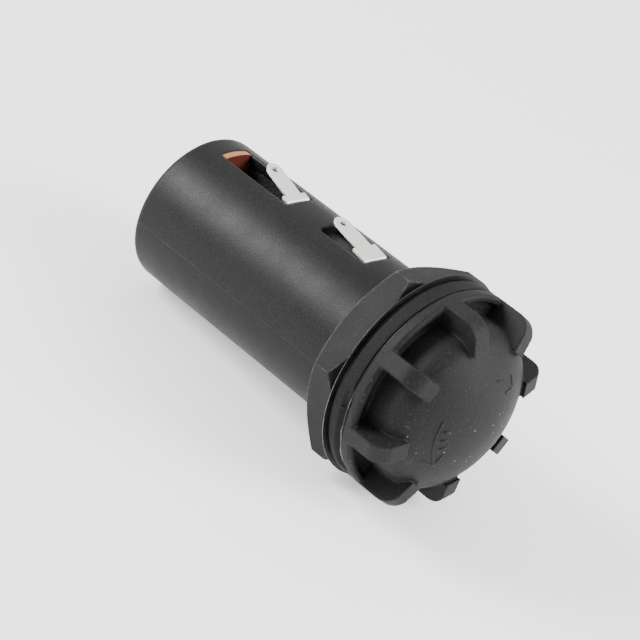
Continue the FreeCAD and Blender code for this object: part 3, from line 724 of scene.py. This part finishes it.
def turn_arrow(name, radius, start, end, barb):
    """A generic arrow bent round the dome that shows which way the cap turns. barb is its barbs' length."""
    shaft = [(radius, start + (end - start) * i / (SHAFT_POINTS - 1)) for i in range(SHAFT_POINTS)]
    dome_mark(name + "_shaft", shaft)
    back = -1 if end > start else 1
    step = math.degrees(barb / radius)
    for side, out in (("out", 1.0), ("in", -1.0)):
        places = [(radius + out * barb * BARB_SPREAD * i / BARB_STEPS, end + back * step * i / BARB_STEPS)
                  for i in range(BARB_STEPS + 1)]
        dome_mark("%s_%s" % (name, side), places)


cap = remoulded("cap_moulding", "cap", 0.18, 3, "screw_cap", cap_black)
open_joint(cap.data, corner=CAP_REAR, depth=0.3)

turn_arrow("mark_long", 9.2, 74.0, 132.0, barb=1.9)
turn_arrow("mark_short", 8.6, -8.0, -44.0, barb=1.7)
for index, angle in enumerate((84.0, 96.0, 108.0)):
    dome_mark("mark_tick_%d" % index, [(7.0, angle), (7.6, angle), (8.2, angle)])


# ---------------------------------------------------------------- lugs and spring

COIL_SIDES = 16
COIL_STEPS = 40         # to a working turn
CLOSED_PITCH = 0.9      # how tightly the closed end turns lie, as a share of the wire's thickness

remoulded("front_lug", "front_terminal", 0.06, 2, "housing", tin)
remoulded("rear_lug", "rear_terminal", 0.06, 2, "housing", tin)


def coil(name, radius, wire, turns, start, end, body, material):
    """A compression spring about the axis, with one closed turn more at each end. wire is its radius."""
    steps = int(turns * COIL_STEPS)
    dead = 1.0 / (turns + 2)
    points = []
    for step in range(steps + 1):
        share = step / steps
        angle = 360.0 * (turns + 2) * share
        rise = min(max((share - dead) / (1 - 2 * dead), 0.0), 1.0)
        low = start + wire + 2 * wire * min(share / dead, 1.0) * CLOSED_PITCH
        high = end - wire - 2 * wire * min((1 - share) / dead, 1.0) * CLOSED_PITCH
        centre = on_axis(radius, angle, low + (high - low) * rise)
        out = on_axis(1.0, angle, 0.0)
        for side in range(COIL_SIDES):
            turn = 2 * math.pi * side / COIL_SIDES
            points.append(centre + out * (wire * math.cos(turn)) + Vector((0, wire * math.sin(turn), 0)))
    faces = ring_faces(steps + 1, COIL_SIDES, joined=False)
    return new_piece(name, points, faces, body, material)


spring = coil("spring_coil", 4.4, 0.33, 5, SPRING_FRONT, SPRING_REAR, "housing", bright_steel)
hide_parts("contact_spring")
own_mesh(spring)


# ---------------------------------------------------------------- stage, light and camera, in metres

FLOOR_GAP = 0.03        # mm below the gasket's lip
FLOOR_HALF = 3
FLOOR_GLOW = 0.6
REST_INSET = 0.4        # mm from the barrel's end to where its rounded edge would touch the floor
LAMP_UP = (0.1, 0.2, 1.0)

CAMERA_PLACE = (-0.29705, -0.20358, 0.19056)
CAMERA_TARGET = (-0.00313, 0.01887, -0.00031)
CAMERA_UP = (0.14984, 0.52233, 0.83948)
LENS = 140.625
SENSOR_WIDTH = 36.0
CLIP_START = 0.01


def look_from(place, target, up):
    """World matrix of something at place that looks at target."""
    back = (Vector(place) - Vector(target)).normalized()
    right = Vector(up).cross(back).normalized()
    above = back.cross(right)
    matrix = Matrix((right, above, back)).transposed().to_4x4()
    matrix.translation = Vector(place)
    return matrix


# The holder lies on its gasket's lip and on the rear end of the barrel.
FLOOR_SLOPE = math.atan2(GASKET_RADIUS - BARREL_RADIUS, BARREL_END - REST_INSET)
floor_mesh = bpy.data.meshes.new("floor")
floor_mesh.from_pydata([(-FLOOR_HALF, -FLOOR_HALF, 0), (FLOOR_HALF, -FLOOR_HALF, 0),
                        (FLOOR_HALF, FLOOR_HALF, 0), (-FLOOR_HALF, FLOOR_HALF, 0)], [], [(0, 1, 2, 3)])
floor = bpy.data.objects.new("floor", floor_mesh)
bpy.context.scene.collection.objects.link(floor)
floor.matrix_world = (Matrix.Translation((0, 0, -(GASKET_RADIUS + FLOOR_GAP) * MM))
                      @ Matrix.Rotation(FLOOR_SLOPE, 4, "X"))
floor_look = Surface("floor_white", (0.94, 0.94, 0.94), 0.9, specular=0.1)
floor_look.roughness(floor_look.ramp(floor_look.noise(60.0), 0.3, 0.7, 0.85, 0.95))
floor_mesh.materials.append(floor_look.material)
floor_look.shader.inputs["Emission Color"].default_value = (1.0, 1.0, 1.0, 1)
floor_look.shader.inputs["Emission Strength"].default_value = FLOOR_GLOW

world = bpy.data.worlds.new("studio")
world.use_nodes = True
sky = world.node_tree


def sky_ramp(source, low, high, start, end):
    """source from low to high, mapped to start to end and held outside."""
    node = sky.nodes.new("ShaderNodeMapRange")
    node.inputs["From Min"].default_value = low
    node.inputs["From Max"].default_value = high
    node.inputs["To Min"].default_value = start
    node.inputs["To Max"].default_value = end
    sky.links.new(source, node.inputs["Value"])
    return node.outputs["Result"]


# The sky is brighter upwards and towards +X.
direction = sky.nodes.new("ShaderNodeTexCoord").outputs["Generated"]
split = sky.nodes.new("ShaderNodeSeparateXYZ")
sky.links.new(direction, split.inputs["Vector"])
both = sky.nodes.new("ShaderNodeMath")
both.operation = "MULTIPLY"
sky.links.new(sky_ramp(split.outputs["Z"], 0.0, 0.7, 0.45, 1.35), both.inputs[0])
sky.links.new(sky_ramp(split.outputs["X"], -0.8, 0.8, 0.40, 1.42), both.inputs[1])
sky.links.new(both.outputs["Value"], sky.nodes["Background"].inputs["Strength"])
sky.nodes["Background"].inputs["Color"].default_value = (1.0, 1.0, 1.0, 1)
bpy.context.scene.world = world


def softbox(name, place, target, size, power):
    """A soft rectangular lamp at place that looks at target, with its power in watts."""
    data = bpy.data.lights.new(name, "AREA")
    data.shape = "RECTANGLE"
    data.size, data.size_y = size
    data.energy = power
    lamp = bpy.data.objects.new(name, data)
    bpy.context.scene.collection.objects.link(lamp)
    lamp.matrix_world = look_from(place, target, LAMP_UP)


softbox("key", (-0.38, 0.46, 0.42), (0, 0.02, 0), (0.30, 0.30), 9.0)
softbox("fill", (0.35, -0.60, 0.34), (0, 0, 0), (0.4, 0.4), 8.5)

camera_data = bpy.data.cameras.new("camera")
camera_data.lens = LENS
camera_data.sensor_width = SENSOR_WIDTH
camera_data.clip_start = CLIP_START
camera = bpy.data.objects.new("camera", camera_data)
bpy.context.scene.collection.objects.link(camera)
camera.matrix_world = look_from(CAMERA_PLACE, CAMERA_TARGET, CAMERA_UP)
bpy.context.scene.camera = camera
